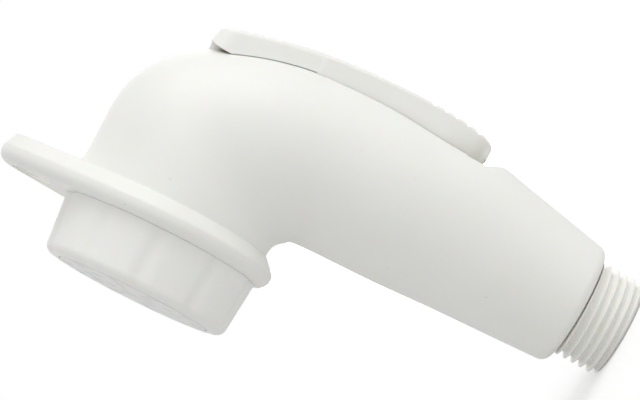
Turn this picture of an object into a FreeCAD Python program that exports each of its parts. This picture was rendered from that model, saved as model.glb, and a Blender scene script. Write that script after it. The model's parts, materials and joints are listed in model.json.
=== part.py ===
import FreeCAD, Part
import math
import os

# Lever hand shower. Lengths are in millimetres.
# The origin is the centre of the inlet thread's end face. +Z runs up the handle to the head,
# the spray leaves towards -X, the lever is on the +X side, and the part is symmetric about Y = 0.

V = FreeCAD.Vector

# Running and assembly clearances
gap = 0.3                   # between parts that move past each other
seat_gap = 0.1              # between parts that are assembled one inside the other
shaft_play = 0.05           # radial play of a shaft or a slide in its hole
squeeze_gap = 0.02          # left at each side of a squeezed rubber ring
press_play = 0.01           # radial play of a pin that is pressed into its hole
beyond = 200.0              # reach of a cutter that runs past the whole part
past = 1.0                  # how far a cutter runs past the face that it leaves
tolerance = 1e-3            # within which an edge counts as lying at a height

# Inlet nipple with its half inch parallel pipe thread
thread_radius = 10.4775
thread_pitch = 1.814
thread_depth = 1.162
thread_crest = 0.302
thread_flank_deg = 27.5
thread_foot = 0.05
thread_length = 9.5
thread_phase = 1.1
relief_width = 0.4
relief_radius = 9.2
lead_chamfer = 0.8
nipple_tail = 15.5
nipple_seal = 3.9
nipple_bore_radius = 7.4
nipple_ledge_radius = 5.2
nipple_ledge = 1.6
filter_depth = 3.4
filter_radius = 6.4
filter_thickness = 1.2
filter_hole_radius = 0.55
filter_hole_pitch = 1.6

# Handle: distances of its front and back outline from the thread's axis
end_z = thread_length + relief_width
end_front = 13.05
end_back = 12.65
end_half_width = 12.75
end_rounding = 2.2
kink_z = 35.9
kink_front = 14.8
kink_back = 17.4
kink_half_width = 15.2
taper_steps = 6
grip_z = 49.0
grip_front = 15.85
grip_back = 17.6
grip_half_width = 16.6
wall = 2.6

# Elbow: the outline turns about this point at the inner corner
pivot_x = -22.5
pivot_z = 66.0
inner_radius_start = 5.7
inner_radius_end = 3.95
elbow_back = 17.7
elbow_half_width = 17.8
shoulder_reach = 41.2
shoulder_half_width = 18.4
crown_reach = 44.8
crown_half_width = 19.3
dome_reach = 49.1
dome_half_width = 20.2
brow_reach = 48.3
brow_half_width = 20.7
neck_reach = 46.1
neck_half_width = 21.0
elbow_angles = (20.0, 40.0, 60.0, 72.0, 84.0)

# Spray head, in its own frame: distances along the spray direction from the thread's axis
head_radius = 21.15
head_tilt = 2.6
plate_top = 23.5
plate_bevel = 2.8
plate_bevel_inset = 2.6
tab_bevel_inset = 1.2
plate_wall = 3.1
plate_radius = 24.0
plate_rounding = 2.3
bevel_rounding = 0.9
tab_reach = 28.4
tab_radius = 7.8
tab_hole_radius = 4.3

# Spigot under the flange, on an axis a little nearer the handle, and the ring that screws on it
spigot_offset = 0.5
spigot_length = 8.1
spigot_radius = 18.0
spigot_wall = 2.4
spigot_ledge = 0.9
collar_radius = 21.0
collar_draft = 1.2
collar_gap = 0.02
collar_height = 12.28
collar_rounding = 1.9
collar_lip = 1.9
collar_opening_radius = 16.6
flute_count = 10
flute_radius = 4.0
flute_softness = 4.0
flute_depth = 0.55

# Nozzle plate, gasket and spreader
face_thickness = 1.3
face_rise = 2.1
face_chamfer = 0.4
face_flange_radius = 17.7
nozzle_radius = 0.95
nozzle_flare = 0.45
nozzle_ring_radii = (0.0, 4.8, 9.6, 14.4)
nozzle_ring_counts = (1, 5, 10, 10)
gasket_thickness = 0.7
spreader_thickness = 1.5
spreader_rim = 0.8
spreader_ledge = 1.2
spreader_hole_radius = 1.2
spreader_ring_radii = (4.0, 8.2, 12.2)
spreader_ring_counts = (6, 12, 16)

# Lever
lever_front_z = 101.7
lever_rear_z = 40.7
lever_half_width = 9.0
lever_gap = 0.12
lever_corner = 4.0
lever_low = 6.0
lever_high = 26.0
lever_draft_front = 3.6
lever_draft_rear = -0.1
lever_draft_side = 0.7
lever_top = ((42.0, 19.6), (44.5, 20.2), (49.0, 20.75), (56.0, 20.9),
             (69.3, 20.1), (84.8, 17.8), (99.8, 13.7))
lever_tip_bottom = 10.8
lever_tip_drop = 1.7
lever_rounding = 1.3
lever_roof = 1.9
skirt_inset = 0.2
skirt_wall = 1.6
skirt_front_z = 82.0
skirt_depth = 13.6
rear_valley_z = 44.9
rear_valley_pitch = 2.6
rear_valley_count = 5
rear_valley_depth = 0.7
front_valley_z = 88.3
front_valley_pitch = 2.8
front_valley_count = 4
front_valley_depth = 0.62

# Recess and pocket in the back of the body, and the lever's pivot
recess_floor = 14.4
ramp_angle = 34.0
pocket_floor = 10.5
pocket_base = 2.4
lever_pin_z = 76.0
lever_pin_x = 14.0
lever_pin_radius = 1.5
lever_pin_end = 0.6
lug_half_width = 3.0
lug_radius = 2.6
hook_thickness = 2.4
hook_radius = 2.7
hook_mouth = 2.3
press_angle = 2.0

# Valve across the handle, in its own frame: distances from the thread's axis towards the lever
valve_z = 53.0
barrel_radius = 7.5
barrel_bottom = -11.4
barrel_flange_radius = 8.2
barrel_flange = 1.4
sleeve_wall = 2.2
web_z = 54.5
seat_face = -1.5
seat_thickness = 2.0
seat_radius = 3.3
lower_chamber_wall = 1.5
upper_chamber_wall = 2.7
upper_chamber_top = 6.6
groove_depth = 1.1
groove_width = 2.0
port_groove_depth = 0.7
port_groove_width = 5.0
port_radius = 1.9
port_count = 6
lower_port = -5.8
upper_port = 3.4
body_port_radius = 2.4
lower_bore_radius = 9.8
lower_bore_end = 5.5
stem_radius = 1.5
stem_end = 0.55
cap_radius = 2.6
cap_height = 1.9
cap_dome = 0.5
cap_gap = 0.15
cap_top = 16.2
gland_radius = 3.4
gland_depth = 1.6
gland_head_radius = 5.0
gland_head = 1.2
stem_seal_width = 1.5
washer_radius = 4.4
washer_thickness = 1.9
holder_wall = 0.6
holder_rim = 1.2
nut_radius = 2.3
nut_height = 1.8
plug_height = 2.0
plug_ring = 1.0
plug_hole_radius = 1.8
spring_radius = 3.6
spring_wire = 0.35
spring_turns = 4

# Non-return valve in the nipple
cage_radius = 7.2
cage_start = filter_depth + nipple_ledge
cage_length = 15.0
cage_wall = 1.3
cage_seat_thickness = 1.5
cage_seat_radius = 4.0
cage_opening = 1.4
cage_guide = 1.5
cage_groove_depth = 0.88
cage_groove_width = 1.6
cage_neck = 0.8
poppet_radius = 4.7
poppet_thickness = 1.3
poppet_stem_radius = 1.2
poppet_travel = 2.5
poppet_seal_thickness = 0.8
check_spring_radius = 2.6
check_spring_wire = 0.25
check_spring_turns = 6
clip_width = 0.8
clip_bite = 0.5
clip_opening = 2.0

os.makedirs("parts", exist_ok=True)


# Placing and turning

def along_valve(shape):
    """Moves a piece from its own upright frame onto the valve's axis, up towards the lever."""
    place = FreeCAD.Placement(V(0, 0, valve_z), FreeCAD.Rotation(V(0, 1, 0), 90))
    shape.Placement = place.multiply(shape.Placement)
    return shape


def on_head(shape):
    """Moves a piece from its own upright frame onto the spray's axis, up along the spray."""
    turn = FreeCAD.Rotation(V(0, 1, 0), -(90 + head_tilt))
    head_z = pivot_z + (inner_radius_end + head_radius) / math.cos(math.radians(head_tilt))
    head_z -= pivot_x * math.tan(math.radians(head_tilt))
    place = FreeCAD.Placement(V(0, 0, head_z - spigot_offset), turn)
    shape.Placement = place.multiply(shape.Placement)
    return shape


def turned(outline):
    """Solid of revolution about Z from an outline of (radius, height) points."""
    points = [V(r, 0, h) for r, h in outline]
    face = Part.Face(Part.makePolygon(points + points[:1]))
    return face.revolve(V(0, 0, 0), V(0, 0, 1), 360)


def disc(radius, low, high, hole=0.0):
    """Round plate or tube between two heights."""
    plate = Part.makeCylinder(radius, high - low, V(0, 0, low))
    if hole:
        plate = plate.cut(Part.makeCylinder(hole, high - low + 2 * past, V(0, 0, low - past)))
    return plate


def hexagon(radius, low, height):
    """Six-sided block with its corners on a circle."""
    corners = [V(radius * math.cos(math.radians(60 * i)), radius * math.sin(math.radians(60 * i)), low)
               for i in range(6)]
    return Part.Face(Part.makePolygon(corners + corners[:1])).extrude(V(0, 0, height))


def joined(shapes):
    """One solid from several that touch."""
    whole = shapes[0].multiFuse(shapes[1:])
    return whole.removeSplitter()


def ring_places(rings, counts):
    """Places on rings round the axis, with each ring's radius and number of places."""
    places = []
    for ring, count in zip(rings, counts):
        for i in range(count):
            angle = 2 * math.pi * i / count
            places.append(V(ring * math.cos(angle), ring * math.sin(angle), 0))
    return places


def seal_ring(inner, outer, low, high):
    """Rubber ring squeezed between two walls, as a round-edged ring."""
    section = min(outer - inner, high - low) / 2 - squeeze_gap
    return Part.makeTorus((inner + outer) / 2, section, V(0, 0, (low + high) / 2))


def bend(start, corner, end):
    """Arc from start to end that is tangent to the two equal lines through a corner."""
    middle = (start + end) * 0.5
    spread = (end - start).Length / 2 / (corner - start).Length
    return Part.Arc(start, middle + (corner - middle) * (spread / (1 + spread)), end).toShape()


def smooth_pair(start, ahead, end, onward):
    """Two tangent arcs between two points, each with its own direction."""
    chord = end - start
    lean = ahead + onward
    a = lean.dot(lean) - 4
    b = -2 * chord.dot(lean)
    reach = (-b - math.sqrt(b * b - 4 * a * chord.dot(chord))) / (2 * a)
    first = start + ahead * reach
    last = end - onward * reach
    joint = (first + last) * 0.5
    return [bend(start, first, joint), bend(joint, last, end)]


def coil(radius, wire, turns, low, high):
    """Helical spring whose wire stays between two heights, on pairs of arcs of a quarter turn."""
    rise = high - low - 2 * wire
    quarters = 4 * turns
    slope = rise / (2 * math.pi * turns)
    places = []
    for i in range(quarters + 1):
        angle = math.pi / 2 * i
        place = V(radius * math.cos(angle), radius * math.sin(angle), low + wire + rise * i / quarters)
        places.append((place, V(-radius * math.sin(angle), radius * math.cos(angle), slope).normalize()))
    edges = []
    for (start, ahead), (end, onward) in zip(places, places[1:]):
        edges += smooth_pair(start, ahead, end, onward)
    section = Part.Wire(Part.makeCircle(wire, places[0][0], places[0][1]))
    return Part.Wire(edges).makePipeShell([section], True, False)


# Rounded sections of the body

def oval(x, z, angle, near, far, half_width):
    """Oval curve through the ray that leaves (x, z) at an angle from +X, from near to far."""
    ray = V(math.cos(math.radians(angle)), 0, math.sin(math.radians(angle)))
    centre = V(x, 0, z) + ray * ((near + far) / 2)
    spline = Part.Circle(V(0, 0, 0), V(0, 0, 1), 1).toBSpline()
    for i, pole in enumerate(spline.getPoles(), 1):
        place = centre + ray * (pole.x * (far - near) / 2) + V(0, 1, 0) * (pole.y * half_width)
        spline.setPole(i, place)
    return spline


def skinned(ovals):
    """Smooth solid through a row of ovals, flat at both ends."""
    rows = [curve.getPoles() for curve in ovals]
    places = [0.0]
    for before, after in zip(rows, rows[1:]):
        steps = [(b - a).Length for a, b in zip(before, after)]
        places.append(places[-1] + sum(steps) / len(steps))
    guides = []
    for track in zip(*rows):
        guide = Part.BSplineCurve()
        guide.interpolate(Points=list(track), Parameters=places)
        guides.append(guide)
    across = ovals[0]
    along = guides[0]
    side = Part.BSplineSurface()
    side.buildFromPolesMultsKnots(
        [guide.getPoles() for guide in guides],
        across.getMultiplicities(), along.getMultiplicities(), across.getKnots(), along.getKnots(),
        across.isPeriodic(), False, across.Degree, along.Degree,
        [[weight] * along.NbPoles for weight in across.getWeights()],
    )
    face = side.toShape()
    rims = [e for e in face.Edges if e.isClosed()]
    shell = Part.Shell([face] + [Part.Face(Part.Wire(rim)) for rim in rims])
    shell.sewShape()
    solid = Part.Solid(shell)
    if solid.Volume < 0:
        solid.reverse()
    return solid


def body_sections(inset, end_inset):
    """Sections of the body from the handle's end to the head, each moved in by a wall thickness."""
    end = (end_z, end_front, end_back, end_half_width)
    kink = (kink_z, kink_front, kink_back, kink_half_width)
    sections = []
    for i in range(taper_steps):
        z, front, back, half_width = (a + (b - a) * i / taper_steps for a, b in zip(end, kink))
        sections.append((0, z, 0, -front, back, half_width, inset))
    sections += [
        (0, kink_z, 0, -kink_front, kink_back, kink_half_width, inset),
        (0, grip_z, 0, -grip_front, grip_back, grip_half_width, inset),
        (pivot_x, pivot_z, 0, inner_radius_start, elbow_back - pivot_x, elbow_half_width, inset),
    ]
    reaches = (shoulder_reach, crown_reach, dome_reach, brow_reach, neck_reach)
    widths = (shoulder_half_width, crown_half_width, dome_half_width, brow_half_width, neck_half_width)
    insets = (inset, inset, inset, inset, (inset + end_inset) / 2)
    for angle, reach, width, step in zip(elbow_angles, reaches, widths, insets):
        share = angle / (90 + head_tilt)
        inner = inner_radius_start + share * (inner_radius_end - inner_radius_start)
        sections.append((pivot_x, pivot_z, angle, inner, reach, width, step))
    reach = inner_radius_end + 2 * head_radius
    sections.append((pivot_x, pivot_z, 90 + head_tilt, inner_radius_end, reach, head_radius, end_inset))
    ovals = []
    for x, z, angle, near, far, half_width, step in sections:
        ovals.append(oval(x, z, angle, near + step, far - step, half_width - step))
    return ovals


def body_skin(growth):
    """Handle and elbow as one smooth solid, grown by a clearance."""
    solid = skinned(body_sections(-growth, -growth))
    if growth:
        return solid
    rim = [e for e in solid.Edges if abs(e.BoundBox.ZMax - end_z) < tolerance]
    return solid.makeFillet(end_rounding, rim)


# Flange with the hanging tab

def tab_outline(inset, tab_inset, height):
    """Teardrop round the head's axis with its point towards +X."""
    big = plate_radius - inset
    small = tab_radius - tab_inset
    lean = math.asin((big - small) / tab_reach)
    big_x = big * math.sin(lean)
    big_y = big * math.cos(lean)
    small_x = tab_reach + small * math.sin(lean)
    small_y = small * math.cos(lean)
    edges = [
        Part.Arc(V(big_x, big_y, height), V(-big, 0, height), V(big_x, -big_y, height)).toShape(),
        Part.makeLine(V(big_x, -big_y, height), V(small_x, -small_y, height)),
        Part.Arc(V(small_x, -small_y, height), V(tab_reach + small, 0, height),
                 V(small_x, small_y, height)).toShape(),
        Part.makeLine(V(small_x, small_y, height), V(big_x, big_y, height)),
    ]
    return Part.Wire(edges)


def flange():
    """Teardrop flange with a bevelled back edge, a rounded front edge and a soft edge between them."""
    low = plate_top + plate_bevel
    back = tab_outline(plate_bevel_inset, tab_bevel_inset, plate_top)
    bevel = Part.makeLoft([back, tab_outline(0, 0, low)], True, True)
    rim = Part.Face(tab_outline(0, 0, low)).extrude(V(0, 0, plate_wall))
    top = low + plate_wall
    edges = [e for e in rim.Edges if abs(e.BoundBox.ZMin - top) < tolerance]
    rim = rim.makeFillet(plate_rounding, edges)
    plate = joined([bevel, rim])
    ridge = [e for e in plate.Edges if abs(e.BoundBox.ZMin - low) + abs(e.BoundBox.ZMax - low) < tolerance]
    plate = plate.makeFillet(bevel_rounding, ridge)
    hole = Part.makeCylinder(tab_hole_radius, plate_bevel + plate_wall + 2 * past,
                             V(tab_reach, 0, plate_top - past))
    plate = plate.cut(hole)
    plate.translate(V(spigot_offset, 0, 0))
    return plate


plate_bottom = plate_top + plate_bevel + plate_wall
spigot_end = plate_bottom + spigot_length
spigot_bore = spigot_radius - spigot_wall
gasket_end = spigot_end + gasket_thickness + 2 * squeeze_gap
collar_end = plate_bottom + collar_gap + collar_height
lip_top = collar_end - collar_lip


# Lever, recess and pocket outlines

def pad_wire(rear, front, half_width, corner, x):
    """Rectangle with round corners at one height above the thread's axis."""
    points = [V(x, -half_width, rear), V(x, -half_width, front)]
    points += [V(x, half_width, front), V(x, half_width, rear)]
    edges = []
    for i, point in enumerate(points):
        after = points[(i + 1) % len(points)]
        ahead = (after - point).normalize()
        behind = (points[i - 1] - point).normalize()
        start = point + behind * corner
        end = point + ahead * corner
        middle = point + (ahead + behind) * (corner * (1 - math.sqrt(0.5)))
        edges.append(Part.Arc(start, middle, end).toShape())
        edges.append(Part.makeLine(end, after - ahead * corner))
    return Part.Wire(edges)


def pad(rear, front, half_width, corner, low, high):
    """Upright block on such a rectangle."""
    face = Part.Face(pad_wire(rear, front, half_width, corner, low))
    return face.extrude(V(high - low, 0, 0))


skirt_rear_z = lever_rear_z + skirt_inset
skirt_half_width = lever_half_width - skirt_inset
skirt_corner = lever_corner - skirt_inset
pocket_front = skirt_front_z + gap
lever_axis = V(lever_pin_x, 0, lever_pin_z)


def recess(floor):
    """Cutter for the shallow seat that the lever's cap sinks into."""
    return pad(lever_rear_z - gap, lever_front_z + gap, lever_half_width + gap,
               lever_corner + gap, floor, beyond)


def thumb_ramp():
    """Cutter for the flat end of the recess and the slope behind it, out to the handle's back."""
    start = lever_rear_z - gap
    run = start - end_z
    rise = run * math.tan(math.radians(ramp_angle))
    side = [
        V(recess_floor, -beyond / 2, start + lever_corner + gap),
        V(recess_floor, -beyond / 2, start),
        V(recess_floor + rise, -beyond / 2, start - run),
        V(recess_floor + rise, -beyond / 2, start + lever_corner + gap),
    ]
    return Part.Face(Part.makePolygon(side + side[:1])).extrude(V(0, beyond, 0))


def handle_body():
    """Hollow moulding of handle, elbow, flange and spigot, with the lever's pocket and lug."""
    spigot = on_head(disc(spigot_radius, plate_bottom - plate_wall / 2, spigot_end))
    body = joined([body_skin(0), on_head(flange()), spigot])

    # Water space from the valve to the head
    upper = skinned(body_sections(wall, head_radius - spigot_bore))
    below = Part.makeBox(beyond, beyond, beyond, V(-beyond / 2, -beyond / 2, web_z - beyond))
    behind = Part.makeBox(beyond, beyond, pocket_front + pocket_base,
                          V(pocket_floor - pocket_base, -beyond / 2, 0))
    sleeve = along_valve(disc(barrel_radius + seat_gap + sleeve_wall, -beyond, beyond))
    outside = on_head(disc(beyond, plate_top, beyond))
    upper = upper.cut(below).cut(behind).cut(sleeve).cut(outside)
    ledge_start = spigot_end - spreader_ledge - spreader_thickness
    throat = on_head(disc(spigot_bore - spigot_ledge, plate_top - wall, ledge_start))
    mouth = on_head(disc(spigot_bore, ledge_start, spigot_end + wall))

    # Water space from the nipple to the valve
    nipple_room = disc(thread_radius + shaft_play, 0, end_z + nipple_tail)
    lower_top = valve_z - barrel_radius - lower_bore_end
    lower = disc(lower_bore_radius, end_z, lower_top)

    # Valve bore with its two ports
    bore = along_valve(disc(barrel_radius + seat_gap, barrel_bottom - seat_gap, beyond))
    port_down = Part.makeCylinder(body_port_radius, valve_z - lower_top + wall,
                                  V(lower_port, 0, lower_top - wall))
    port_up = Part.makeCylinder(body_port_radius, barrel_radius + sleeve_wall + wall,
                                V(upper_port, 0, valve_z))

    pocket = pad(skirt_rear_z - gap, pocket_front, skirt_half_width + gap, skirt_corner + gap,
                 pocket_floor, beyond)
    for space in (upper, throat, mouth, nipple_room, lower, bore, port_down, port_up, pocket,
                  recess(recess_floor), thumb_ramp()):
        body = body.cut(space)
    return joined([body, pivot_lug()])


def pivot_lug():
    """Lug on the pocket's floor that holds the lever's pin."""
    base = pocket_floor - pocket_base / 2
    block = Part.makeBox(lever_pin_x - base, 2 * lug_half_width, 2 * lug_radius,
                         V(base, -lug_half_width, lever_pin_z - lug_radius))
    top = Part.makeCylinder(lug_radius, 2 * lug_half_width, lever_axis - V(0, lug_half_width, 0), V(0, 1, 0))
    hole = Part.makeCylinder(lever_pin_radius + press_play, 4 * lug_half_width,
                             lever_axis - V(0, 2 * lug_half_width, 0), V(0, 1, 0))
    return joined([block, top]).cut(hole)


# Lever

def lever_side(low, shift):
    """Side view of the lever from a flat bottom up to its curved top, drawn through its width."""
    side = -lever_half_width * 2
    points = [V(x - shift, side, z) for z, x in lever_top]
    overhang = lever_corner
    fall = (points[-2].x - points[-1].x) / (points[-1].z - points[-2].z)
    first = V(points[0].x, side, lever_rear_z - overhang)
    last_z = lever_front_z + overhang
    last = V(points[-1].x - (last_z - points[-1].z) * fall, side, last_z)
    curve = Part.BSplineCurve()
    curve.interpolate([first] + points + [last])
    start = V(low, side, first.z)
    end = V(low, side, last.z)
    edges = [
        Part.makeLine(start, first),
        curve.toShape(),
        Part.makeLine(last, end),
        Part.makeLine(end, start),
    ]
    face = Part.Face(Part.Wire(edges))
    return face.extrude(V(0, lever_half_width * 4, 0))


def lever_block():
    """Outside of the lever's cap with its rounded upper edge."""
    bottom = pad_wire(lever_rear_z, lever_front_z, lever_half_width, lever_corner, lever_low)
    top = pad_wire(lever_rear_z + lever_draft_rear, lever_front_z - lever_draft_front,
                   lever_half_width - lever_draft_side, lever_corner, lever_high)
    block = Part.makeLoft([bottom, top], True, True).common(lever_side(lever_low - gap, 0))
    rim = [e for e in block.Edges if e.BoundBox.XMin > lever_tip_bottom]
    return block.makeFillet(lever_rounding, rim)


def lever_height(z):
    """Height of the lever's top at a place along it."""
    pairs = list(zip(lever_top, lever_top[1:]))
    for (z0, x0), (z1, x1) in pairs:
        if z <= z1:
            return x0 + (x1 - x0) * (z - z0) / (z1 - z0)
    return lever_top[-1][1]


def valleys(first_z, pitch, count, depth):
    """Narrow valleys across the lever's top, with a round rib on each side of every one."""
    half = pitch / 2
    rib_radius = (half ** 2 + depth ** 2) / (2 * depth)
    width = 4 * lever_half_width
    cutters = []
    for i in range(count):
        z = first_z + i * pitch
        top = lever_height(z)
        block = Part.makeBox(depth + rib_radius, width, pitch, V(top - depth, -width / 2, z - half))
        for rib_z in (z - half, z + half):
            crest = V(lever_height(rib_z) - rib_radius, -width / 2, rib_z)
            block = block.cut(Part.makeCylinder(rib_radius, width, crest, V(0, 1, 0)))
        cutters.append(block)
    return cutters


def lever():
    """Lever with its cap over the body, its skirt in the pocket and its two hooks on the pin."""
    body = body_skin(lever_gap).cut(recess(recess_floor + gap))
    pressed = body.copy()
    pressed.rotate(lever_axis, V(0, 1, 0), -press_angle)
    tip_radius = (lever_half_width ** 2 + lever_tip_drop ** 2) / (2 * lever_tip_drop)
    tip = Part.makeCylinder(tip_radius, lever_front_z + gap, V(lever_tip_bottom - tip_radius, 0, 0))
    hollow = pad(skirt_rear_z + skirt_wall, skirt_front_z - skirt_wall, skirt_half_width - skirt_wall,
                 skirt_corner - skirt_wall, lever_low - gap, lever_high)
    hollow = hollow.common(lever_side(lever_low - 2 * gap, lever_roof))
    cap = lever_block().cut(hollow).cut(body).cut(pressed).cut(tip)
    skirt = pad(skirt_rear_z, skirt_front_z, skirt_half_width, skirt_corner, skirt_depth, lever_high)
    skirt = skirt.common(lever_side(skirt_depth - gap, lever_roof / 2)).cut(hollow)
    shell = joined([cap, skirt])

    # Hooks that clip over the pin, and the boss that presses the valve's button
    pieces = [shell]
    roof = lever_height(lever_pin_z) - lever_roof / 2
    for side in (-1, 1):
        y = lug_half_width + gap if side > 0 else -lug_half_width - gap - hook_thickness
        arm = Part.makeBox(roof - lever_pin_x, hook_thickness, 2 * hook_radius,
                           V(lever_pin_x, y, lever_pin_z - hook_radius))
        eye = Part.makeCylinder(hook_radius, hook_thickness, V(lever_pin_x, y, lever_pin_z), V(0, 1, 0))
        hole = Part.makeCylinder(lever_pin_radius + shaft_play, hook_thickness,
                                 V(lever_pin_x, y, lever_pin_z), V(0, 1, 0))
        mouth = Part.makeBox(2 * hook_radius, hook_thickness, hook_mouth,
                             V(lever_pin_x - 2 * hook_radius, y, lever_pin_z - hook_mouth / 2))
        pieces.append(joined([arm, eye]).cut(hole).cut(mouth))
    boss_bottom = cap_top + cap_gap
    boss = Part.makeCylinder(cap_radius, lever_height(valve_z) - lever_roof / 2 - boss_bottom,
                             V(boss_bottom, 0, valve_z), V(1, 0, 0))
    pieces.append(boss)
    whole = joined(pieces)
    cutters = valleys(rear_valley_z, rear_valley_pitch, rear_valley_count, rear_valley_depth)
    cutters += valleys(front_valley_z, front_valley_pitch, front_valley_count, front_valley_depth)
    for cutter in cutters:
        whole = whole.cut(cutter)
    return whole


def lever_pin():
    """Plain pin of the lever's pivot."""
    half = lug_half_width + gap + hook_thickness + lever_pin_end
    return Part.makeCylinder(lever_pin_radius, 2 * half, lever_axis - V(0, half, 0), V(0, 1, 0))


# Inlet nipple and the non-return valve in it

def thread_ridge():
    """Helical ridge of the thread with a chamfered lead, its foot sunk a little into the nipple."""
    root = thread_radius - thread_depth
    slope = math.tan(math.radians(thread_flank_deg))
    half_crest = thread_crest / 2
    half_foot = half_crest + (thread_depth + thread_foot) * slope
    foot = root - thread_foot
    profile = Part.makePolygon([
        V(foot, 0, -half_foot),
        V(thread_radius, 0, -half_crest),
        V(thread_radius, 0, half_crest),
        V(foot, 0, half_foot),
        V(foot, 0, -half_foot),
    ])
    turns = math.ceil(thread_length / thread_pitch) + 2
    helix = Part.makeHelix(thread_pitch, turns * thread_pitch, root)
    ridge = Part.Wire(helix.Edges).makePipeShell([profile], True, True)
    ridge.translate(V(0, 0, -thread_pitch - thread_phase))
    room = turned([
        (relief_radius, 0),
        (thread_radius - lead_chamfer, 0),
        (thread_radius + thread_foot, lead_chamfer + thread_foot),
        (thread_radius + thread_foot, thread_length),
        (relief_radius, thread_length),
    ])
    return ridge.common(room)


def inlet_nipple():
    """Threaded connector whose tail is held in the handle."""
    top = end_z + nipple_tail - seat_gap
    seal_low = end_z + nipple_seal
    blank = turned([
        (filter_radius, 0),
        (thread_radius - thread_depth, 0),
        (thread_radius - thread_depth, thread_length),
        (relief_radius, thread_length),
        (relief_radius, end_z),
        (thread_radius, end_z),
        (thread_radius, seal_low),
        (thread_radius - groove_depth, seal_low),
        (thread_radius - groove_depth, seal_low + groove_width),
        (thread_radius, seal_low + groove_width),
        (thread_radius, top),
        (nipple_bore_radius, top),
        (nipple_bore_radius, clip_top + seat_gap),
        (nipple_bore_radius + clip_bite, clip_top + seat_gap),
        (nipple_bore_radius + clip_bite, clip_top - clip_width - seat_gap),
        (nipple_bore_radius, clip_top - clip_width - seat_gap),
        (nipple_bore_radius, cage_start),
        (nipple_ledge_radius, cage_start),
        (nipple_ledge_radius, filter_depth),
        (filter_radius, filter_depth),
    ])
    return blank.fuse(thread_ridge())


def nipple_o_ring():
    """O-ring between the nipple's tail and the handle."""
    low = end_z + nipple_seal
    return seal_ring(thread_radius - groove_depth, thread_radius + shaft_play, low, low + groove_width)


cage_end = cage_start + cage_length
clip_top = cage_end + 2 * seat_gap + clip_width


def inlet_filter():
    """Perforated disc with a rim, resting on the nipple's inner ledge."""
    low = filter_depth - filter_thickness - seat_gap
    plate = disc(filter_radius - shaft_play, low, filter_depth - seat_gap)
    reach = filter_radius - filter_hole_pitch - filter_hole_radius
    steps = int(reach / filter_hole_pitch) + 1
    holes = []
    for i in range(-steps, steps + 1):
        for j in range(-steps, steps + 1):
            x = (i + 0.5 * (j % 2)) * filter_hole_pitch
            y = j * filter_hole_pitch * math.sqrt(3) / 2
            if math.hypot(x, y) < reach:
                holes.append(Part.makeCylinder(filter_hole_radius, filter_thickness + 2 * past,
                                               V(x, y, low - past)))
    return plate.cut(Part.makeCompound(holes))


def check_cage():
    """Housing of the non-return valve, with its seat below and its spoked guide above."""
    start = cage_start + seat_gap
    bore = cage_radius - cage_wall
    seal_low = start + cage_seat_thickness / 2
    neck_end = seal_low + cage_groove_width + cage_neck
    shell = turned([
        (cage_seat_radius, start),
        (cage_radius, start),
        (cage_radius, seal_low),
        (cage_radius - cage_groove_depth, seal_low),
        (cage_radius - cage_groove_depth, seal_low + cage_groove_width),
        (cage_radius, seal_low + cage_groove_width),
        (cage_radius, cage_end),
        (bore, cage_end),
        (bore, neck_end + cage_groove_depth),
        (bore - cage_groove_depth, neck_end),
        (bore - cage_groove_depth, start + cage_seat_thickness),
        (cage_seat_radius, start + cage_seat_thickness),
    ])
    low = cage_end - cage_guide
    hub = disc(poppet_stem_radius + cage_wall, low, cage_end)
    spokes = [hub]
    for angle in (0, 60, 120):
        reach = bore + cage_wall / 2
        spoke = Part.makeBox(2 * reach, cage_wall, cage_guide, V(-reach, -cage_wall / 2, low))
        spoke.rotate(V(0, 0, 0), V(0, 0, 1), angle)
        spokes.append(spoke)
    guide = joined(spokes).cut(disc(poppet_stem_radius + shaft_play, low - past, cage_end + past))
    return joined([shell, guide])


poppet_low = cage_start + seat_gap + cage_seat_thickness + poppet_seal_thickness + squeeze_gap


def check_poppet():
    """Disc that lifts off the cage's seat, with a stem that slides in the guide."""
    top = cage_end + poppet_travel / 2
    disc_part = disc(poppet_radius, poppet_low, poppet_low + poppet_thickness)
    stem = disc(poppet_stem_radius, poppet_low, top)
    nose_low = cage_start + seat_gap
    nose = disc(cage_seat_radius - cage_opening, nose_low, poppet_low)
    return joined([disc_part, stem, nose])


def check_seal():
    """Flat rubber ring under the poppet's disc."""
    low = cage_start + seat_gap + cage_seat_thickness + squeeze_gap / 2
    return disc(poppet_radius, low, low + poppet_seal_thickness, cage_seat_radius - cage_opening + shaft_play)


def check_spring():
    """Spring that keeps the poppet shut."""
    low = poppet_low + poppet_thickness + squeeze_gap
    high = cage_end - cage_guide - squeeze_gap
    return coil(check_spring_radius, check_spring_wire, check_spring_turns, low, high)


def check_o_ring():
    """O-ring round the cage."""
    low = cage_start + seat_gap + cage_seat_thickness / 2
    return seal_ring(cage_radius - cage_groove_depth, nipple_bore_radius, low, low + cage_groove_width)


def cage_clip():
    """Open spring ring in the nipple's groove."""
    low = clip_top - clip_width
    ring = disc(nipple_bore_radius + clip_bite - seat_gap, low, clip_top, cage_radius - cage_wall)
    opening = Part.makeBox(2 * cage_radius, clip_opening, 2 * clip_width + past,
                           V(0, -clip_opening / 2, low - past))
    return ring.cut(opening)


# Head

def arc_about(centre, start, end):
    """Short arc from start to end about a centre."""
    middle = (start - centre) + (end - centre)
    return Part.Arc(start, centre + middle.normalize() * (start - centre).Length, end).toShape()


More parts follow.
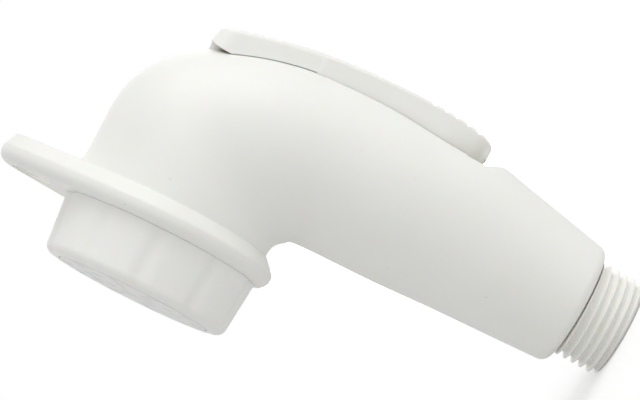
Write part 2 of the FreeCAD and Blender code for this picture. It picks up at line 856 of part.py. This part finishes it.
def fluted_wire(radius, height):
    """Circle with soft grooves, drawn with arcs that run into each other."""
    def at(reach, angle):
        return V(reach * math.cos(angle), reach * math.sin(angle), height)

    pitch = 2 * math.pi / flute_count
    groove_reach = radius + flute_radius - flute_depth
    soft_reach = radius - flute_softness
    sides = flute_radius + flute_softness
    half = math.acos((soft_reach ** 2 + groove_reach ** 2 - sides ** 2) / (2 * soft_reach * groove_reach))
    edges = []
    for i in range(flute_count):
        middle = pitch * (i + 0.5)
        groove = at(groove_reach, middle)
        first = at(soft_reach, middle - half)
        last = at(soft_reach, middle + half)
        enter = first + (groove - first) * (flute_softness / sides)
        leave = last + (groove - last) * (flute_softness / sides)
        edges.append(arc_about(first, at(radius, middle - half), enter))
        edges.append(Part.Arc(enter, at(radius - flute_depth, middle), leave).toShape())
        edges.append(arc_about(last, leave, at(radius, middle + half)))
        edges.append(arc_about(V(0, 0, height), at(radius, middle + half), at(radius, middle + pitch - half)))
    return Part.Wire(edges)


def spray_collar():
    """Fluted ring that screws on the spigot and holds the nozzle plate."""
    top = plate_bottom + collar_gap
    foot = fluted_wire(collar_radius - collar_draft, collar_end)
    ring = Part.makeLoft([fluted_wire(collar_radius, top), foot], True, True)
    rim = [e for e in ring.Edges if e.BoundBox.ZMin > collar_end - tolerance]
    ring = ring.makeFillet(collar_rounding, rim)
    ring = ring.cut(disc(spigot_radius + seat_gap, top - past, lip_top))
    return on_head(ring.cut(disc(collar_opening_radius, top, collar_end + past)))


def spray_face():
    """Nozzle plate with its flange clamped behind the ring's lip."""
    flange_top = gasket_end + squeeze_gap
    outline = [
        (0, flange_top),
        (face_flange_radius, flange_top),
        (face_flange_radius, lip_top - seat_gap),
        (collar_opening_radius - seat_gap, lip_top - seat_gap),
        (collar_opening_radius - seat_gap, lip_top + face_rise - face_chamfer),
        (collar_opening_radius - seat_gap - face_chamfer, lip_top + face_rise),
        (0, lip_top + face_rise),
    ]
    plate = turned(outline)
    hollow = disc(spigot_bore - spreader_rim, flange_top - past, lip_top + face_rise - face_thickness)
    holes = []
    for place in ring_places(nozzle_ring_radii, nozzle_ring_counts):
        mouth = lip_top + face_rise - nozzle_flare
        start = place + V(0, 0, flange_top - past)
        holes.append(Part.makeCylinder(nozzle_radius, mouth - start.z + past, start))
        holes.append(Part.makeCone(nozzle_radius, nozzle_radius + 2 * nozzle_flare, 2 * nozzle_flare,
                                   place + V(0, 0, mouth)))
    return on_head(plate.cut(hollow).cut(Part.makeCompound(holes)))


def face_gasket():
    """Flat ring between the spigot's end and the nozzle plate."""
    low = spigot_end + squeeze_gap
    return on_head(disc(face_flange_radius, low, low + gasket_thickness, spigot_bore + seat_gap))


def flow_spreader():
    """Perforated disc on the spigot's ledge, held by its rim against the nozzle plate."""
    low = spigot_end - spreader_ledge - spreader_thickness + squeeze_gap
    outer = spigot_bore - shaft_play
    plate = disc(outer, low, low + spreader_thickness)
    rim = disc(outer, low, gasket_end, outer - spreader_rim)
    holes = []
    for place in ring_places(spreader_ring_radii, spreader_ring_counts):
        holes.append(Part.makeCylinder(spreader_hole_radius, spreader_thickness + 2 * past,
                                       place + V(0, 0, low - past)))
    return on_head(joined([plate, rim]).cut(Part.makeCompound(holes)))


# Valve

def ring_groove(outer, depth, middle, width):
    """Cutter for a groove round a cylinder."""
    return disc(outer + past, middle - width / 2, middle + width / 2, outer - depth)


lower_chamber_radius = barrel_radius - lower_chamber_wall
seal_places = (seat_face + seat_thickness / 2, pocket_floor - groove_width)


def valve_barrel():
    """Cartridge with the seat, its side ports and its flange on the pocket's floor."""
    shoulder = pocket_floor + seat_gap
    top = shoulder + barrel_flange
    body = joined([disc(barrel_radius, barrel_bottom, top), disc(barrel_flange_radius, shoulder, top)])
    seat_top = seat_face + seat_thickness
    gland_floor = top - gland_depth
    body = body.cut(disc(lower_chamber_radius, barrel_bottom - past, seat_face))
    body = body.cut(disc(seat_radius, seat_face - past, seat_top + past))
    body = body.cut(disc(barrel_radius - upper_chamber_wall, seat_top, upper_chamber_top))
    body = body.cut(disc(stem_radius + shaft_play, upper_chamber_top - past, top + past))
    body = body.cut(disc(gland_radius, gland_floor - stem_seal_width, top + past))
    for place in seal_places:
        body = body.cut(ring_groove(barrel_radius, groove_depth, place, groove_width))
    for place in (lower_port, upper_port):
        body = body.cut(ring_groove(barrel_radius, port_groove_depth, place, port_groove_width))
        for i in range(port_count):
            angle = 2 * math.pi * i / port_count
            way = V(math.cos(angle), math.sin(angle), 0)
            body = body.cut(Part.makeCylinder(port_radius, 2 * barrel_radius, V(0, 0, place), way))
    return along_valve(body)


def barrel_o_rings():
    """The two O-rings round the cartridge."""
    rings = []
    for place in seal_places:
        half = groove_width / 2
        rings.append(along_valve(seal_ring(barrel_radius - groove_depth, barrel_radius + seat_gap,
                                           place - half, place + half)))
    return Part.makeCompound(rings)


def barrel_plug():
    """Plug in the cartridge's lower end, with a ring that centres the spring."""
    top = barrel_bottom + plug_height
    plate = disc(lower_chamber_radius - shaft_play, barrel_bottom, top)
    ring = disc(spring_radius - spring_wire - seat_gap, top - plug_ring, top + plug_ring, plug_hole_radius)
    return along_valve(joined([plate, ring]))


holder_top = seat_face - squeeze_gap - washer_thickness + holder_rim
holder_bottom = seat_face - squeeze_gap - washer_thickness - holder_wall - squeeze_gap


def valve_stem():
    """Spindle through washer, seat and gland up to the button."""
    bottom = holder_bottom - nut_height - stem_end
    return along_valve(disc(stem_radius, bottom, cap_top - cap_height / 2))


def stem_cap():
    """Domed button on the spindle's top."""
    low = cap_top - cap_height
    block = disc(cap_radius, low, cap_top)
    dome_radius = (cap_radius ** 2 + cap_dome ** 2) / (2 * cap_dome)
    ball = Part.makeSphere(dome_radius, V(0, 0, cap_top - dome_radius))
    hole = disc(stem_radius, low - past, cap_top - cap_height / 2)
    return along_valve(block.common(ball).cut(hole))


def stem_o_ring():
    """O-ring round the spindle under the gland nut."""
    floor = pocket_floor + seat_gap + barrel_flange - gland_depth
    return along_valve(seal_ring(stem_radius, gland_radius, floor - stem_seal_width, floor))


def gland_nut():
    """Nut that keeps the spindle's O-ring in the cartridge."""
    top = pocket_floor + seat_gap + barrel_flange
    tail = disc(gland_radius - shaft_play, top - gland_depth, top + gland_head / 2)
    head = hexagon(gland_head_radius, top + squeeze_gap, gland_head)
    nut = joined([tail, head])
    hole = disc(stem_radius + shaft_play, top - gland_depth - past, top + squeeze_gap + gland_head + past)
    return along_valve(nut.cut(hole))


def valve_washer():
    """Rubber washer that shuts against the seat."""
    high = seat_face - squeeze_gap
    return along_valve(disc(washer_radius, high - washer_thickness, high, stem_radius))


def washer_holder():
    """Cup behind the washer."""
    floor = seat_face - squeeze_gap - washer_thickness
    cup = disc(washer_radius + holder_wall, holder_bottom, holder_top, washer_radius)
    base = disc(washer_radius + holder_wall, holder_bottom, floor)
    return along_valve(joined([cup, base]).cut(disc(stem_radius, holder_bottom - past, floor + past)))


def washer_nut():
    """Hexagon nut under the cup."""
    nut = hexagon(nut_radius, holder_bottom - nut_height, nut_height)
    return along_valve(nut.cut(disc(stem_radius, holder_bottom - nut_height - past, holder_bottom + past)))


def valve_spring():
    """Spring between the plug and the cup."""
    low = barrel_bottom + plug_height + squeeze_gap
    return along_valve(coil(spring_radius, spring_wire, spring_turns, low, holder_bottom - squeeze_gap))


pieces = {
    "handle_body": handle_body,
    "lever": lever,
    "lever_pin": lever_pin,
    "spray_collar": spray_collar,
    "spray_face": spray_face,
    "face_gasket": face_gasket,
    "flow_spreader": flow_spreader,
    "inlet_nipple": inlet_nipple,
    "nipple_o_ring": nipple_o_ring,
    "inlet_filter": inlet_filter,
    "check_cage": check_cage,
    "check_poppet": check_poppet,
    "check_seal": check_seal,
    "check_spring": check_spring,
    "check_o_ring": check_o_ring,
    "cage_clip": cage_clip,
    "valve_barrel": valve_barrel,
    "barrel_o_rings": barrel_o_rings,
    "barrel_plug": barrel_plug,
    "valve_stem": valve_stem,
    "stem_cap": stem_cap,
    "stem_o_ring": stem_o_ring,
    "gland_nut": gland_nut,
    "valve_washer": valve_washer,
    "washer_holder": washer_holder,
    "washer_nut": washer_nut,
    "valve_spring": valve_spring,
}

for name, make in pieces.items():
    shape = make()
    shape.exportStep(f"parts/{name}.step")
    box = shape.BoundBox
    print(name, len(shape.Solids), shape.isValid(), round(shape.Volume, 1),
          [round(v, 2) for v in (box.XMin, box.XMax, box.YMin, box.YMax, box.ZMin, box.ZMax)])
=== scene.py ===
import json
import math

import bpy
from mathutils import Matrix, Vector


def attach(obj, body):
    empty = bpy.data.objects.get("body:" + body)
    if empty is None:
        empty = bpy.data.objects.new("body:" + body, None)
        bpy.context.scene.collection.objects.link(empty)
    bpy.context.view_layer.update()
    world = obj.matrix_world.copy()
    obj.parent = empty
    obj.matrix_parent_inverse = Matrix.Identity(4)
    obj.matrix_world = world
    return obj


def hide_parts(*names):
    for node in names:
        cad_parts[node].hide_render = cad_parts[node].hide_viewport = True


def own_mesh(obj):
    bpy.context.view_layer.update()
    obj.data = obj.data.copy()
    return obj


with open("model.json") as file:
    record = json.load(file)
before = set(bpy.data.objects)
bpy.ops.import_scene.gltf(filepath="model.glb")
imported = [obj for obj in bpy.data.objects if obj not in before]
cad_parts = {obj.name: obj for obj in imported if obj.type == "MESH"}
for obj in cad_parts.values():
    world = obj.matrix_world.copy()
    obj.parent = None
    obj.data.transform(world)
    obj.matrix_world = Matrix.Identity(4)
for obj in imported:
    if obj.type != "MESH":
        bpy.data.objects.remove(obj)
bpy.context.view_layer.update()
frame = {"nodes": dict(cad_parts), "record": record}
nodes = frame["nodes"]

MM = 0.001


# Camera, at the photograph's viewing angle

VIEW_AIM = Vector((-0.006632, 0.0, 0.066057))
VIEW_DISTANCE = 0.5
VIEW_AZIMUTH = math.radians(7.935)
VIEW_ELEVATION = math.radians(1.178)
VIEW_ROLL = math.radians(60.828)
LENS = 138.77
SENSOR = 36.0
CLIP_START = 0.01
CLIP_END = 20.0


def view_axes():
    """Right, up and back directions of the photograph's view."""
    back = Vector((
        -math.sin(VIEW_AZIMUTH) * math.cos(VIEW_ELEVATION),
        -math.cos(VIEW_AZIMUTH) * math.cos(VIEW_ELEVATION),
        math.sin(VIEW_ELEVATION),
    ))
    level = Vector((0, 0, 1)).cross(back).normalized()
    rise = back.cross(level)
    right = level * math.cos(VIEW_ROLL) - rise * math.sin(VIEW_ROLL)
    up = level * math.sin(VIEW_ROLL) + rise * math.cos(VIEW_ROLL)
    return right, up, back


def placed(right, up, back, place):
    """Matrix of a camera or lamp that looks along minus back."""
    turn = Matrix((right, up, back)).transposed().to_4x4()
    return Matrix.Translation(place) @ turn


def make_camera():
    right, up, back = view_axes()
    data = bpy.data.cameras.new("photo_camera")
    data.lens = LENS
    data.sensor_width = SENSOR
    data.clip_start = CLIP_START
    data.clip_end = CLIP_END
    camera = bpy.data.objects.new("photo_camera", data)
    bpy.context.scene.collection.objects.link(camera)
    camera.matrix_world = placed(right, up, back, VIEW_AIM + back * VIEW_DISTANCE)
    bpy.context.scene.camera = camera


# Short ways to build node trees

class Tree:
    """A node tree with short ways to add nodes and join them."""

    def __init__(self, graph):
        self.graph = graph

    def node(self, kind, **values):
        """Adds a node. A value goes to the input of its name, or else to a setting of the node."""
        node = self.graph.nodes.new(kind)
        for name, value in values.items():
            label = name.replace("_", " ")
            if label in node.inputs:
                node.inputs[label].default_value = value
            else:
                setattr(node, name, value)
        return node

    def link(self, out, into):
        self.graph.links.new(out, into)

    def math(self, way, *values):
        """Result of an operation on one or two values."""
        node = self.node("ShaderNodeMath", operation=way)
        for value, socket in zip(values, node.inputs):
            self.link(value, socket)
        return node.outputs[0]

    def spread(self, value, low, high, to_low, to_high):
        """A value taken from one range to another."""
        node = self.node("ShaderNodeMapRange", From_Min=low, From_Max=high, To_Min=to_low, To_Max=to_high)
        self.link(value, node.inputs["Value"])
        return node.outputs[0]

    def shared(self, share, first, second):
        """Mixture of two shaders."""
        node = self.node("ShaderNodeMixShader")
        for value, socket in zip((share, first, second), node.inputs):
            self.link(value, socket)
        return node.outputs[0]


# Light, floor and background

# Each lamp with the shares of right, up and back in its direction, its distance, its size and its power
LAMPS = (
    ("key", (-0.08, 1.0, 0.3), 1.2, 1.0, 6.0),
    ("front", (-0.2, 0.1, 1.0), 1.4, 1.2, 1.4),
    ("behind", (0.0, 0.3, -1.0), 1.4, 1.2, 2.5),
)
WORLD_WHITE = (1, 1, 1, 1)
WORLD_LIGHT = 0.66
FLOOR_HALF = 4.0
FLOOR_DROP = 0.2 * MM
FLOOR_GREY = (0.8, 0.8, 0.8, 1)
FLOOR_ROUGHNESS = 0.9
FLOOR_GLOSS = 0.1
FLOOR_NEAR = 0.2
FLOOR_FAR = 0.7
FLOOR_GLOW = 0.3


def make_light():
    """Square soft boxes that point at the object."""
    axes = view_axes()
    for name, shares, distance, size, power in LAMPS:
        back = sum((axis * share for axis, share in zip(axes, shares)), Vector()).normalized()
        side = Vector((0, 1, 0)).cross(back).normalized()
        data = bpy.data.lights.new(name, "AREA")
        data.shape = "SQUARE"
        data.size = size
        data.energy = power
        lamp = bpy.data.objects.new(name, data)
        bpy.context.scene.collection.objects.link(lamp)
        lamp.visible_camera = False
        lamp.matrix_world = placed(side, back.cross(side), back, VIEW_AIM + back * distance)


def make_world():
    """White where the background is seen, and a weaker soft light on the object."""
    world = bpy.data.worlds.new("studio")
    bpy.context.scene.world = world
    world.use_nodes = True
    world.node_tree.nodes.clear()
    tree = Tree(world.node_tree)
    path = tree.node("ShaderNodeLightPath")
    seen = tree.math("MAXIMUM", path.outputs["Is Camera Ray"], path.outputs["Is Glossy Ray"])
    seen = tree.math("MAXIMUM", seen, path.outputs["Is Transmission Ray"])
    light = tree.node("ShaderNodeBackground", Color=WORLD_WHITE, Strength=WORLD_LIGHT)
    backdrop = tree.node("ShaderNodeBackground", Color=WORLD_WHITE, Strength=1.0)
    out = tree.node("ShaderNodeOutputWorld")
    tree.link(tree.shared(seen, light.outputs[0], backdrop.outputs[0]), out.inputs["Surface"])


def make_floor():
    """Pale floor whose glow is weak near the object, where its shadow lies, and white far off."""
    mesh = bpy.data.meshes.new("floor")
    corners = [(-FLOOR_HALF, -FLOOR_HALF, 0), (FLOOR_HALF, -FLOOR_HALF, 0),
               (FLOOR_HALF, FLOOR_HALF, 0), (-FLOOR_HALF, FLOOR_HALF, 0)]
    mesh.from_pydata(corners, [], [(0, 1, 2, 3)])
    floor = bpy.data.objects.new("floor", mesh)
    floor.location.z = -FLOOR_DROP
    bpy.context.scene.collection.objects.link(floor)
    material = bpy.data.materials.new("floor")
    material.use_nodes = True
    shader = material.node_tree.nodes["Principled BSDF"]
    shader.inputs["Base Color"].default_value = FLOOR_GREY
    shader.inputs["Roughness"].default_value = FLOOR_ROUGHNESS
    shader.inputs["Specular IOR Level"].default_value = FLOOR_GLOSS
    tree = Tree(material.node_tree)
    path = tree.node("ShaderNodeLightPath")
    where = tree.node("ShaderNodeTexCoord")
    away = tree.node("ShaderNodeVectorMath", operation="LENGTH")
    tree.link(where.outputs["Object"], away.inputs[0])
    glow = tree.node("ShaderNodeEmission")
    fade = tree.spread(away.outputs["Value"], FLOOR_NEAR, FLOOR_FAR, FLOOR_GLOW, 1.0)
    tree.link(fade, glow.inputs["Strength"])
    blank = tree.node("ShaderNodeEmission", Strength=0.0)
    seen = tree.shared(path.outputs["Is Camera Ray"], blank.outputs[0], glow.outputs[0])
    both = tree.node("ShaderNodeAddShader")
    tree.link(shader.outputs[0], both.inputs[0])
    tree.link(seen, both.inputs[1])
    tree.link(both.outputs[0], material.node_tree.nodes["Material Output"].inputs["Surface"])
    mesh.materials.append(material)


# Materials

# Where most of a noise lies, and how finely corners and edges are sampled
NOISE_RANGE = (0.3, 0.7)
CREVICE_SAMPLES = 8
EDGE_SAMPLES = 6


class Shader(Tree):
    """A material with its Principled shader and short ways to add patterns."""

    def __init__(self, name, **values):
        self.material = bpy.data.materials.new(name)
        self.material.use_nodes = True
        super().__init__(self.material.node_tree)
        self.main = self.graph.nodes["Principled BSDF"]
        self.where = self.node("ShaderNodeTexCoord").outputs["Object"]
        for label, value in values.items():
            self.main.inputs[label.replace("_", " ")].default_value = value

    def noise(self, scale, detail=2.0, where=None):
        node = self.node("ShaderNodeTexNoise", Scale=scale, Detail=detail)
        self.link(where or self.where, node.inputs["Vector"])
        return node.outputs[0]

    def streaks(self, scale, stretch):
        """Noise that is drawn out along the handle."""
        drawn = self.node("ShaderNodeMapping", Scale=(1.0, 1.0, 1.0 / stretch))
        self.link(self.where, drawn.inputs["Vector"])
        return self.noise(scale, detail=3.0, where=drawn.outputs[0])

    def axis(self, name):
        """One coordinate of a point, in metres."""
        axes = self.node("ShaderNodeSeparateXYZ")
        self.link(self.where, axes.inputs[0])
        return axes.outputs[name]

    def from_middle(self):
        """Distance of a point from the plane of symmetry."""
        return self.math("ABSOLUTE", self.axis("Y"))

    def seam(self, width):
        """Low ridge where the two halves of the mould met, in the plane of symmetry."""
        return self.spread(self.from_middle(), 0.0, width, 1.0, 0.0)

    def specks(self, pitch, radius, share):
        """Scattered dots that fade over their outer half, of which only a share is seen."""
        cells = self.node("ShaderNodeTexVoronoi", Scale=1.0 / pitch)
        self.link(self.where, cells.inputs["Vector"])
        dot = self.spread(cells.outputs["Distance"], 0.5 * radius / pitch, radius / pitch, 1.0, 0.0)
        parts = self.node("ShaderNodeSeparateColor")
        self.link(cells.outputs["Color"], parts.inputs[0])
        seen = self.spread(parts.outputs[0], 1.0 - share, 1.01 - share, 0.0, 1.0)
        return self.math("MULTIPLY", dot, seen)

    def ramp(self, value, low, high, first, last):
        """Colours between two places of a value."""
        node = self.node("ShaderNodeValToRGB")
        self.link(value, node.inputs["Fac"])
        for stop, place, colour in zip(node.color_ramp.elements, (low, high), (first, last)):
            stop.position = place
            stop.color = (*colour, 1)
        return node.outputs["Color"]

    def mixed(self, share, first, second):
        """Colour between a linked colour and a fixed one."""
        node = self.node("ShaderNodeMix", data_type="RGBA")
        self.link(share, node.inputs[0])
        self.link(first, node.inputs[6])
        node.inputs[7].default_value = (*second, 1)
        return node.outputs[2]

    def crevice(self, distance, closed=0.15, clear=0.6):
        """How far a point lies in a corner or gap, from 0 where it is clear to 1 where it is closed in."""
        node = self.node("ShaderNodeAmbientOcclusion", samples=CREVICE_SAMPLES, Distance=distance)
        return self.spread(node.outputs["AO"], closed, clear, 1.0, 0.0)

    def bump(self, height, depth, normal=None):
        node = self.node("ShaderNodeBump", Strength=1.0, Distance=depth)
        self.link(height, node.inputs["Height"])
        if normal is not None:
            self.link(normal, node.inputs["Normal"])
        return node.outputs["Normal"]

    def round_edges(self, radius):
        return self.node("ShaderNodeBevel", samples=EDGE_SAMPLES, Radius=radius).outputs["Normal"]

    def finish(self, colour, roughness, normal):
        """The finished material."""
        for value, name in ((colour, "Base Color"), (roughness, "Roughness"), (normal, "Normal")):
            self.link(value, self.main.inputs[name])
        return self.material


# What the plastics share: translucence, cloudy tone, specks, painted shade in gaps and corners, wear,
# mould seam and grain
REFRACTION = 1.5
TRANSLUCENCE = 0.15
TRANSLUCENT_DEPTH = 0.7 * MM
CLOUD_SCALE = 55.0
CLOUD_RANGE = (0.35, 0.65)
SPECK_PITCH = 4.0 * MM
SPECK_RADIUS = 0.14 * MM
SPECK_SHARE = 0.35
SPECK_TINT = (0.42, 0.38, 0.33)
# Colour and reach of the painted shade that darkens gaps and corners
GAP_PAINTED_SHADE = (0.66, 0.63, 0.56)
GAP_WIDTH = 0.9 * MM
HANDLED_SCALE = 160.0
HANDLED_SPREAD = 0.05
RUB_SCALE = 900.0
RUB_STRETCH = 12.0
RUB_RANGE = (0.55, 0.75)
RUB_DULLNESS = 0.07
SEAM_WIDTH = 0.14 * MM
WAVE_SCALE = 240.0
WAVE_DEPTH = 0.012 * MM
GRAIN_SCALE = 2600.0


class Plastic(Shader):
    """Moulded plastic: cloudy tone, painted shade in gaps and corners, specks, fine grain and softened
    edges.
    """

    def __init__(self, name, light, dark, rough, gap_tint=GAP_PAINTED_SHADE, gap_width=GAP_WIDTH):
        super().__init__(name, IOR=REFRACTION, Subsurface_Weight=TRANSLUCENCE,
                         Subsurface_Scale=TRANSLUCENT_DEPTH)
        cloud = self.ramp(self.noise(CLOUD_SCALE, detail=3.0), *CLOUD_RANGE, dark, light)
        speckled = self.mixed(self.specks(SPECK_PITCH, SPECK_RADIUS, SPECK_SHARE), cloud, SPECK_TINT)
        # Painted shade: gaps and corners are darkened towards the gap colour
        self.tone = self.mixed(self.crevice(gap_width), speckled, gap_tint)
        handled = self.spread(self.noise(HANDLED_SCALE, detail=4.0), *NOISE_RANGE,
                              rough - HANDLED_SPREAD, rough + HANDLED_SPREAD)
        rubbed = self.spread(self.streaks(RUB_SCALE, RUB_STRETCH), *RUB_RANGE, 0.0, RUB_DULLNESS)
        self.gloss = self.math("ADD", handled, rubbed)

    def paint_shade(self, share, tint):
        """Paints shade over the plastic, in the given colour, where a share is above zero."""
        self.tone = self.mixed(share, self.tone, tint)

    def surfaced(self, grain, edge, seam=0.0):
        """The finished material, with its grain, its rounded edges and any mould seam."""
        normal = self.round_edges(edge)
        if seam:
            normal = self.bump(self.seam(SEAM_WIDTH), seam, normal)
        normal = self.bump(self.noise(WAVE_SCALE), WAVE_DEPTH, normal)
        normal = self.bump(self.noise(GRAIN_SCALE), grain, normal)
        return self.finish(self.tone, self.gloss, normal)


WHITE = (0.872, 0.874, 0.838)
WHITE_CLOUD = (0.855, 0.858, 0.818)
# Colours of painted shade: the first for the wedge under the lever's tip, the second for the lever's foot
# and rear flanks
DEEP_SHADE = (0.2, 0.15, 0.1)
LEVER_PAINTED_SHADE = (0.6, 0.59, 0.52)

# Along the handle, the painted shade in the wedge under the lever's tip starts between the first two
# places, the painted shade at the foot of the lever's sides ends between the next two, and the painted
# shade on its rear flanks between the last two. The flank shade fades from low to high on the flanks, and
# starts where they stand off the middle.
WEDGE_PLACES = (94.0 * MM, 97.5 * MM)
FOOT_PLACES = (50.0 * MM, 70.0 * MM)
FLANK_SHADE_PLACES = (43.5 * MM, 51.5 * MM)
FLANK_SHADE_HEIGHTS = (15.5 * MM, 20.0 * MM)
FLANK_SHADE_WIDTHS = (7.2 * MM, 8.2 * MM)
WEDGE_DEPTH = 2.5 * MM
FOOT_DEPTH = 3.0 * MM
FOOT_SHARE = 0.9
FLANK_SHADE_SHARE = 0.7
FLANK_SHADE_LEFT_HIGH = 0.1


def shade_wedge(plastic):
    """Darkens the wedge under the lever's tip."""
    front = plastic.spread(plastic.axis("Z"), *WEDGE_PLACES, 0.0, 1.0)
    deep = plastic.crevice(WEDGE_DEPTH, closed=0.05, clear=0.32)
    plastic.paint_shade(plastic.math("MULTIPLY", deep, front), DEEP_SHADE)


def body_plastic():
    """The handle's plastic, with painted shade in the wedge under the lever's tip, and a seam along its
    middle.
    """
    plastic = Plastic("body_plastic", WHITE, WHITE_CLOUD, rough=0.40)
    shade_wedge(plastic)
    return plastic.surfaced(grain=0.003 * MM, edge=0.25 * MM, seam=0.025 * MM)


def lever_plastic():
    """The lever's plastic, with painted shade under its tip, along its foot and on its rear flanks."""
    plastic = Plastic("lever_plastic", WHITE, WHITE_CLOUD, rough=0.38)
    # Painted shade along the foot of the lever's sides, stronger towards the rear
    rear = plastic.spread(plastic.axis("Z"), *FOOT_PLACES, FOOT_SHARE, 0.0)
    foot = plastic.crevice(FOOT_DEPTH, closed=0.35, clear=0.9)
    plastic.paint_shade(plastic.math("MULTIPLY", foot, rear), LEVER_PAINTED_SHADE)
    # Painted shade on the lever's rear flanks, strongest low down at the rear end
    end = plastic.spread(plastic.axis("Z"), *FLANK_SHADE_PLACES, FLANK_SHADE_SHARE, 0.0)
    low = plastic.spread(plastic.axis("X"), *FLANK_SHADE_HEIGHTS, 1.0, FLANK_SHADE_LEFT_HIGH)
    flank = plastic.spread(plastic.from_middle(), *FLANK_SHADE_WIDTHS, 0.0, 1.0)
    flank_shade = plastic.math("MULTIPLY", plastic.math("MULTIPLY", end, low), flank)
    plastic.paint_shade(flank_shade, LEVER_PAINTED_SHADE)
    shade_wedge(plastic)
    return plastic.surfaced(grain=0.003 * MM, edge=0.25 * MM)


def collar_plastic():
    """The screw ring's plastic, a little brighter and more matt than the handle's."""
    plastic = Plastic("collar_plastic", light=(0.9, 0.9, 0.868), dark=(0.885, 0.886, 0.85), rough=0.44,
                      gap_tint=(0.78, 0.77, 0.7))
    return plastic.surfaced(grain=0.004 * MM, edge=0.12 * MM)


def nipple_plastic():
    """The inlet's plastic, with a mould seam across its thread."""
    plastic = Plastic("nipple_plastic", light=(0.895, 0.895, 0.86), dark=(0.88, 0.88, 0.842), rough=0.38,
                      gap_tint=(0.8, 0.79, 0.72))
    return plastic.surfaced(grain=0.003 * MM, edge=0.12 * MM, seam=0.03 * MM)


def face_plastic():
    """The nozzle plate's plastic, with painted shade inside its holes."""
    plastic = Plastic("face_plastic", light=(0.855, 0.858, 0.842), dark=(0.838, 0.842, 0.825), rough=0.45,
                      gap_tint=(0.32, 0.33, 0.33), gap_width=2.2 * MM)
    return plastic.surfaced(grain=0.005 * MM, edge=0.15 * MM)


def inner_plastic():
    """Plain natural plastic of the pieces inside."""
    plastic = Plastic("inner_plastic", light=(0.80, 0.80, 0.75), dark=(0.77, 0.77, 0.72), rough=0.5)
    return plastic.surfaced(grain=0.004 * MM, edge=0.1 * MM)


RUBBER_BLACK = (0.03, 0.03, 0.03)
RUBBER_GREY = (0.055, 0.055, 0.055)
RUBBER_ROUGHNESS = (0.6, 0.8)
RUBBER_GRAIN = 0.01 * MM


def rubber():
    """Black rubber of the seals."""
    shader = Shader("seal_rubber", IOR=REFRACTION)
    tone = shader.ramp(shader.noise(300.0, detail=3.0), *NOISE_RANGE, RUBBER_BLACK, RUBBER_GREY)
    roughness = shader.spread(shader.noise(700.0), *NOISE_RANGE, *RUBBER_ROUGHNESS)
    normal = shader.bump(shader.noise(3000.0), RUBBER_GRAIN)
    return shader.finish(tone, roughness, normal)


METAL_POLISH = 0.06
METAL_WEAR = 0.08
METAL_GRAIN = 0.004 * MM


def metal(name, dark, light, rough):
    """Turned or drawn metal with fine marks."""
    shader = Shader(name, Metallic=1.0)
    tone = shader.ramp(shader.noise(400.0, detail=4.0), *NOISE_RANGE, dark, light)
    roughness = shader.spread(shader.noise(900.0, detail=3.0), *NOISE_RANGE,
                              rough - METAL_POLISH, rough + METAL_WEAR)
    normal = shader.bump(shader.noise(4000.0), METAL_GRAIN)
    return shader.finish(tone, roughness, normal)


SPRING_SLOT = "spring_steel"


def dress_nodes():
    """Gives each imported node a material, by its name or else by its slot in the record."""
    by_node = {
        "handle_body": body_plastic(),
        "lever": lever_plastic(),
        "spray_collar": collar_plastic(),
    }
    by_slot = {
        "white_nipple": nipple_plastic(),
        "face_plastic": face_plastic(),
        "inner_plastic": inner_plastic(),
        "seal_rubber": rubber(),
        "valve_brass": metal("valve_brass", dark=(0.66, 0.5, 0.24), light=(0.74, 0.57, 0.3), rough=0.25),
        SPRING_SLOT: metal(SPRING_SLOT, dark=(0.56, 0.56, 0.55), light=(0.66, 0.66, 0.65), rough=0.28),
    }
    for part in frame["record"]["subparts"]:
        material = by_node.get(part["node"]) or by_slot[part["material_slot"]]
        mesh = nodes[part["node"]].data
        mesh.materials.clear()
        mesh.materials.append(material)


# Springs

# Each spring with the joint that presses it, its axis, its end that stays in place, its length at rest
# and its travel
SPRINGS = (
    ("valve_spring", "stem_slide", (1, 0, 0), (-9.4 * MM, 0, 53.0 * MM), 5.34 * MM, 0.85 * MM),
    ("check_spring", "check_lift", (0, 0, 1), (0, 0, 18.48 * MM), 9.74 * MM, 2.5 * MM),
)


def shorten_springs():
    """Copies of the springs, attached to the body in place of the imported ones, which are hidden."""
    for name, joint, axis, anchor, length, travel in SPRINGS:
        spring = bpy.data.objects.new(name + "_coil", nodes[name].data.copy())
        spring.matrix_world = nodes[name].matrix_world
        bpy.context.scene.collection.objects.link(spring)
        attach(spring, "body")
        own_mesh(spring)
        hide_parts(name)


bpy.context.scene.view_settings.view_transform = "Standard"
make_camera()
make_world()
make_light()
make_floor()
dress_nodes()
shorten_springs()
